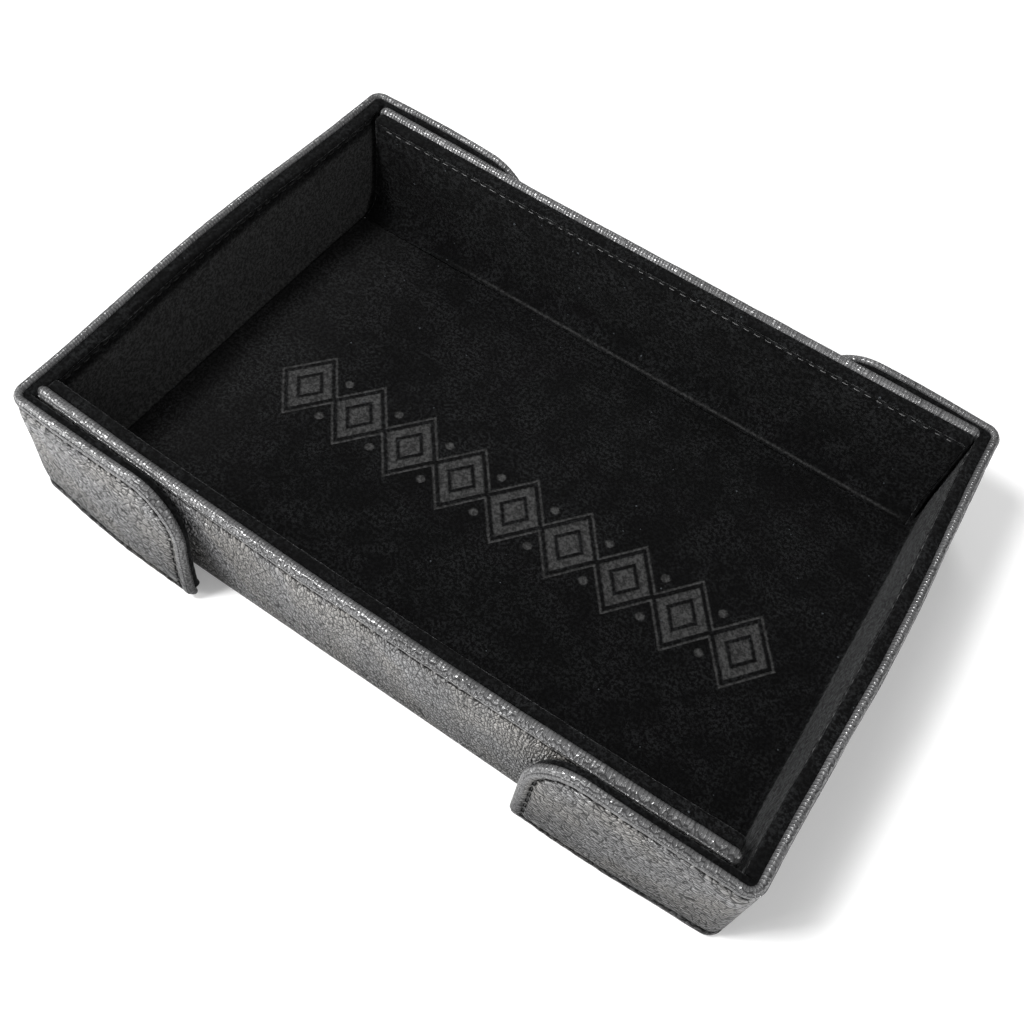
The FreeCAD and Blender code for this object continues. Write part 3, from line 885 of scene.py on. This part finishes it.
def build_magnets(panel, body):
    """Bar magnets sealed in the board, carried with its bend."""
    for node in sorted(n for n in bpy.data.objects.keys() if n.startswith(f"{body}_magnet")):
        cad = bpy.data.objects[node]
        world = np.array([tuple(cad.matrix_world @ vertex.co) for vertex in cad.data.vertices])
        offset = world - panel.origin
        points = np.stack([offset @ panel.along, offset @ panel.inward, world[:, 2]], axis=1)
        faces = [tuple(polygon.vertices) for polygon in cad.data.polygons]
        bar = make_mesh(f"{node}_bar", panel.place(points), faces, materials["magnet"])
        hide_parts(node)
        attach(bar, body)


def stitch_mesh(name, panel, depth, facing, body, kind="thread"):
    """Threads that lie in the groove, each a short rounded bar that dips at its ends."""
    points, faces = [], []
    around, along = 8, 7
    slim = inside_thread_share if kind == "lit_thread" else 1.0
    for u, z, step_u, step_z in panel.seam_line():
        first = len(points)
        for k in range(along):
            t = k / (along - 1) * 2 - 1
            reach = t * thread_length / 2
            radius = slim * thread_radius * math.sqrt(max(1 - t ** 4, 0.04))
            dip = facing * (-thread_dip * t * t)
            for m in range(around):
                turn = 2 * math.pi * m / around
                across = radius * math.cos(turn)
                points.append((
                    u + step_u * reach - step_z * across,
                    depth + dip + facing * radius * math.sin(turn),
                    z + step_z * reach + step_u * across,
                ))
        for k in range(along - 1):
            for m in range(around):
                a = first + k * around + m
                b = first + k * around + (m + 1) % around
                faces.append((a, b, b + around, a + around))
        faces.append(tuple(range(first + around - 1, first - 1, -1)))
        faces.append(tuple(range(first + (along - 1) * around, first + along * around)))
    thing = make_mesh(name, panel.place(np.array(points)), faces, materials[kind])
    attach(thing, body)
    return thing


def blend_across(piece, start):
    """Bake a piece's placement into its mesh; start is not used."""
    start = Vector(start)
    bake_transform(piece)


def long_panel(way, seed, middle, left, right):
    """A long wall whose top stands out by middle, left and right at those places."""
    belly = 0.9 * MM
    panel = Panel(
        (-long_half, long_half), fold_radius, long_rim, ("left", "right", "top"), "top",
        (0, way * long_outer, 0), (1, 0, 0), (0, -way, 0), seed,
    )

    def push(u, z):
        ends = np.where(u < 0, left, right)
        out = middle + (ends - middle) * np.clip(np.abs(u) / long_half, 0, 1) ** 2
        upward = np.clip(z / height, 0, 1)
        return out * upward ** 2.2 + belly * np.sin(upward * math.pi)

    panel.outward_push = push
    panel.piping = 0.12 * MM
    return panel


def build_long_wall(end, way, seed, middle, left, right, slide, stretch):
    body = f"{end}_wall"
    panel = long_panel(way, seed, middle, left, right)
    panel.slide, panel.stretch = slide, stretch
    reach = long_outer - floor_half_y
    cover = build_leather(f"{body}_leather", panel, cover_fold_rows(long_rim, reach), swap=True)
    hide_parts(f"{body}_cover", f"{end}_cover_fold")
    start = (0, way * (floor_half_y + fold_seat), 0)
    blend_across(cover, start)
    face = long_outer - long_face
    gap = long_foot - floor_top
    panel.crease = crease_share * gap if way > 0 else 0.0
    lining = build_velvet(
        f"{body}_lining", panel, face, long_foot,
        velvet_fold_rows(face, long_foot, gap, face - long_rim), wall_velvet_row,
    )
    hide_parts(f"{body}_velvet", f"{end}_velvet_fold")
    blend_across(lining, (0, way * floor_half_y, floor_top))
    stitch_mesh(f"{body}_stitches_outside", panel, outside_thread_depth, -1, body)
    stitch_mesh(f"{body}_stitches_inside", panel, face - inside_thread_lift, 1, body, "lit_thread")
    build_board(f"{body}_board", panel, body)
    build_magnets(panel, body)


def short_panel(way, seed, bulge):
    """A short wall whose top bows out by bulge at its middle."""
    panel = Panel(
        (-short_half, short_half), fold_radius, short_rim, ("top",), "top",
        (way * half_length, 0, 0), (0, 1, 0), (-way, 0, 0), seed,
    )

    def push(u, z):
        middle = np.cos(np.clip(u / short_half, -1, 1) * math.pi / 2) ** 2
        return bulge * middle * np.clip(z / height, 0, 1) ** 1.3

    panel.outward_push = push
    return panel


def build_short_wall(side, way, seed, bulge, nap_and_painted_light, kind):
    body = f"{side}_wall"
    panel = short_panel(way, seed, bulge)
    panel.nap_and_painted_light = nap_and_painted_light
    reach = half_length - short_face
    cover = build_leather(f"{body}_leather", panel, cover_fold_rows(short_rim, reach))
    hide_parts(f"{body}_cover", f"{side}_cover_fold")
    start = (way * (half_length - short_fold_inset), 0, 0)
    blend_across(cover, start)
    face = half_length - short_face
    gap = short_foot - floor_top
    lining = build_velvet(
        f"{body}_lining", panel, face, short_foot,
        velvet_fold_rows(face, short_foot, gap, face - short_rim), wall_velvet_row,
    )
    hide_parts(f"{body}_velvet", f"{side}_velvet_fold")
    blend_across(lining, (way * floor_half_x, 0, floor_top))
    stitch_mesh(f"{body}_stitches_outside", panel, outside_thread_depth, -1, body)
    stitch_mesh(f"{body}_stitches_inside", panel, face - inside_thread_lift, 1, body, kind)
    build_board(f"{body}_board", panel, body)


def build_flap(end, side, seed, flare, bulge, trim=0.0, slant=0.0):
    """A flap that stands off by flare at its foot, bows by bulge and is shorter by trim."""
    way_x = 1 if side == "right" else -1
    way_y = 1 if end == "back" else -1
    body = f"{end}_{side}_flap"
    panel = Panel(
        (-corner_arc, flap_root - flap_end - trim), flap_foot, flap_rim,
        ("right", "top", "bottom"), "round",
        (way_x * flap_root, way_y * half_width, 0), (-way_x, 0, 0), (0, -way_y, 0), seed,
    )
    panel.wraps = True
    panel.slant = slant
    panel.tip["right"] = flap_tip
    panel.toe = flap_toe

    def push(u, z):
        low = np.sin(np.clip(1 - z / height, 0, 1) * math.pi / 2)
        share = np.clip(u / (flap_root - flap_end), 0, 1)
        away = share ** 0.9
        swell = np.sin(share * math.pi) ** 1.3
        tuck = flap_tuck * (1 - smooth_step(z, 0, 5 * MM)) * away
        return flare * low * away + bulge * swell * (0.4 + 0.6 * low) - tuck

    panel.outward_push = push
    cover = build_leather(f"{body}_leather", panel)
    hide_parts(f"{body}_cover", f"{end}_{side}_corner_cover")
    start = (way_x * half_length, way_y * short_half, 0)
    blend_across(cover, start)
    lining = build_velvet(f"{body}_lining", panel, half_width - flap_face, flap_foot)
    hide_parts(f"{body}_velvet", f"{end}_{side}_corner_velvet")
    blend_across(lining, start)
    stitch_mesh(f"{body}_stitches", panel, outside_thread_depth, -1, body)
    build_board(f"{body}_board", panel, body)
    build_magnets(panel, body)


# The floor lining and its pressed ornament

def ornament(x, y):
    """How far the velvet is pressed in, 0 to 1: a band of nine linked lozenges."""
    half_high = 14 * MM
    pitch = 22 * MM
    half_long = 4.5 * pitch
    soft = 0.15 * MM
    slope = math.hypot(half_high, pitch / 2)

    def band(distance, low, high):
        above_low = smooth_step(distance, low - soft, low + soft)
        return above_low * (1 - smooth_step(distance, high - soft, high + soft))

    near = np.clip(x, -half_long + pitch / 2, half_long - pitch / 2)
    middle = np.round((near - pitch / 2) / pitch + 0.5) * pitch
    across = np.abs(x - middle)
    lozenge = (across * half_high + np.abs(y) * pitch / 2 - half_high * pitch / 2) / slope
    pressed = band(lozenge, -3.9 * MM, -1.0 * MM)
    pressed = np.maximum(pressed, band(lozenge, 0.5 * MM, 1.2 * MM))
    pressed = np.maximum(pressed, band(lozenge, -20 * MM, -5.2 * MM))
    link = np.hypot(across - pitch / 2, np.abs(y) - 0.62 * half_high)
    inside = (np.abs(x) < half_long - pitch / 3).astype(float)
    pressed = np.maximum(pressed, band(link, -1.0 * MM, 1.5 * MM) * inside)
    return pressed


def build_floor():
    """The floor's velvet, with its pressed ornament, slow waves, soft rim and painted light toward its left
    end.
    """
    shift_x, shift_y = 5 * MM, -8 * MM
    press_depth = 0.35 * MM
    painted_light_tone, painted_light_reach = 0.14, 60 * MM
    xs = np.linspace(-floor_half_x, floor_half_x, 598)
    ys = np.linspace(-floor_half_y, floor_half_y, 353)
    gx, gy = np.meshgrid(xs, ys, indexing="ij")
    x, y = gx.reshape(-1), gy.reshape(-1)
    pressed = ornament(x - shift_x, y - shift_y)
    soft = 0.12 * MM * noise(x / (24 * MM), y / (24 * MM), 70)
    soft = soft + 0.03 * MM * noise(x / (1.2 * MM), y / (1.2 * MM), 71)
    rim = np.minimum(floor_half_x - np.abs(x), floor_half_y - np.abs(y))
    ridge = 0.25 * MM * bell(rim, 0.6 * MM, 0.6 * MM)
    z = floor_top + soft * smooth_step(rim, 0, 8 * MM) + ridge - press_depth * pressed
    points = np.stack([x, y, z], axis=1)
    count = len(ys)
    faces = []
    for i in range(len(xs) - 1):
        for j in range(count - 1):
            a = i * count + j
            faces.append((a, a + count, a + count + 1, a + 1))
    # Painted light: the velvet is paler toward the floor's left end, fading out over 60 mm
    painted_light = painted_light_tone * (1 - smooth_step(x + floor_half_x, 0, painted_light_reach))
    tone = np.maximum(pressed, painted_light)
    lining = make_mesh("floor_lining", points, faces, materials["velvet"], None, {"pressed": tone})
    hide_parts("base_velvet")
    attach(lining, "base")


def dress_frame_nodes():
    """Procedural materials for the nodes that stay as they are."""
    for name, thing in frame["nodes"].items():
        kind = next((kind for kind in ("board", "magnet", "velvet") if kind in name), "leather")
        thing.data.materials.clear()
        thing.data.materials.append(materials[kind])


# Stage, light and camera

def build_stage():
    """White paper that glows a little where it is seen, mirrored or looked through to."""
    half = 4.0
    glow_strength = 0.20
    material, tree, shader = new_material("paper")
    nodes = Nodes(tree)
    mottle = nodes.noise(nodes.place(), 3.0, 2.0)
    path = tree.nodes.new("ShaderNodeLightPath")
    bounced = nodes.math("MAXIMUM", path.outputs["Is Glossy Ray"], path.outputs["Is Transmission Ray"])
    seen = nodes.math("MAXIMUM", path.outputs["Is Camera Ray"], bounced)
    paper = nodes.mix(mottle, (0.86, 0.86, 0.86, 1), (0.88, 0.88, 0.88, 1))
    nodes.put(shader.inputs["Base Color"], paper)
    shader.inputs["Roughness"].default_value = 0.9
    shader.inputs["Specular IOR Level"].default_value = 0.1
    glow = tree.nodes.new("ShaderNodeEmission")
    nodes.put(glow.inputs["Strength"], nodes.times(seen, glow_strength))
    both = tree.nodes.new("ShaderNodeAddShader")
    tree.links.new(shader.outputs[0], both.inputs[0])
    tree.links.new(glow.outputs[0], both.inputs[1])
    out = next(node for node in tree.nodes if node.type == "OUTPUT_MATERIAL")
    tree.links.new(both.outputs[0], out.inputs["Surface"])
    points = [(-half, -half, 0), (half, -half, 0), (half, half, 0), (-half, half, 0)]
    floor = make_mesh("stage_floor", points, [(0, 1, 2, 3)], material)
    floor.location.z = -0.02 * MM


def add_softbox(name, place, aim, size, power):
    lamp = bpy.data.lights.new(name, "AREA")
    lamp.shape = "SQUARE"
    lamp.size = size
    lamp.energy = power
    thing = bpy.data.objects.new(name, lamp)
    thing.location = place
    thing.rotation_euler = (Vector(aim) - Vector(place)).to_track_quat("-Z", "Y").to_euler()
    bpy.context.scene.collection.objects.link(thing)


def build_light():
    """An even white world, and softboxes given by place, aim, size and power."""
    world = bpy.data.worlds.new("studio")
    bpy.context.scene.world = world
    world.use_nodes = True
    background = world.node_tree.nodes["Background"]
    background.inputs["Color"].default_value = (1.0, 1.0, 1.0, 1.0)
    background.inputs["Strength"].default_value = 0.30
    add_softbox("key_light", (-0.46, -0.44, 1.03), (0, 0, 0), 0.26, 13.0)
    add_softbox("top_light", (-0.34, 0.72, 1.22), (0, 0, 0), 0.3, 4.0)
    add_softbox("front_light", (-0.62, -0.70, 0.26), (-0.04, -0.09, 0.02), 0.4, 7.4)
    add_softbox("side_light", (1.05, -0.20, 0.26), (-0.12, 0, 0.03), 0.5, 4.5)


def build_camera():
    """The photograph's own view: turned, raised and rolled about a point on the table."""
    azimuth, elevation, roll = math.radians(24.8416), math.radians(56.9408), math.radians(10.3919)
    distance = 398.76 * MM
    aim = np.array((-2.97 * MM, 0.25 * MM, 0.0))
    focal_share, middle_x, middle_y = 1.11585, 506.80, 490.06
    picture = 1024.0
    back = np.array((
        math.sin(azimuth) * math.cos(elevation), -math.cos(azimuth) * math.cos(elevation),
        math.sin(elevation),
    ))
    right = np.cross(-back, (0, 0, 1))
    right /= np.linalg.norm(right)
    up = np.cross(right, -back)
    turned_right = math.cos(roll) * right + math.sin(roll) * up
    turned_up = math.cos(roll) * up - math.sin(roll) * right
    lens = bpy.data.cameras.new("camera")
    lens.sensor_width = 36.0
    lens.lens = 36.0 * focal_share
    lens.shift_x = (picture / 2 - middle_x) / picture
    lens.shift_y = (middle_y - picture / 2) / picture
    lens.clip_start = 0.01
    camera = bpy.data.objects.new("camera", lens)
    rotation = Matrix((turned_right, turned_up, back)).transposed()
    camera.matrix_world = Matrix.Translation(aim + back * distance) @ rotation.to_4x4()
    bpy.context.scene.collection.objects.link(camera)
    bpy.context.scene.camera = camera


build_camera()
build_stage()
build_light()
bpy.context.scene.view_settings.view_transform = "Standard"
dress_frame_nodes()
build_floor()
build_long_wall(
    "front", -1, seed=11, middle=1.4 * MM, left=-0.8 * MM, right=-0.7 * MM,
    slide=-2.1 * MM, stretch=0.6 * MM,
)
build_long_wall(
    "back", 1, seed=12, middle=1.8 * MM, left=0.4 * MM, right=1.8 * MM,
    slide=0.6 * MM, stretch=0.6 * MM,
)
# The left wall's lining gets painted light, as the paler pressed-pile tone; the right wall's gets none
build_short_wall("left", -1, seed=13, bulge=2.6 * MM, nap_and_painted_light=0.72, kind="thread")
build_short_wall("right", 1, seed=14, bulge=2.0 * MM, nap_and_painted_light=0.0, kind="lit_thread")
build_flap("front", "left", seed=21, flare=4.8 * MM, bulge=0.9 * MM, trim=3.0 * MM, slant=3.0 * MM)
build_flap("front", "right", seed=22, flare=3.0 * MM, bulge=0.9 * MM)
build_flap("back", "left", seed=23, flare=1.5 * MM, bulge=2.6 * MM, trim=-3.5 * MM)
build_flap("back", "right", seed=24, flare=1.5 * MM, bulge=3.0 * MM, trim=4.5 * MM)
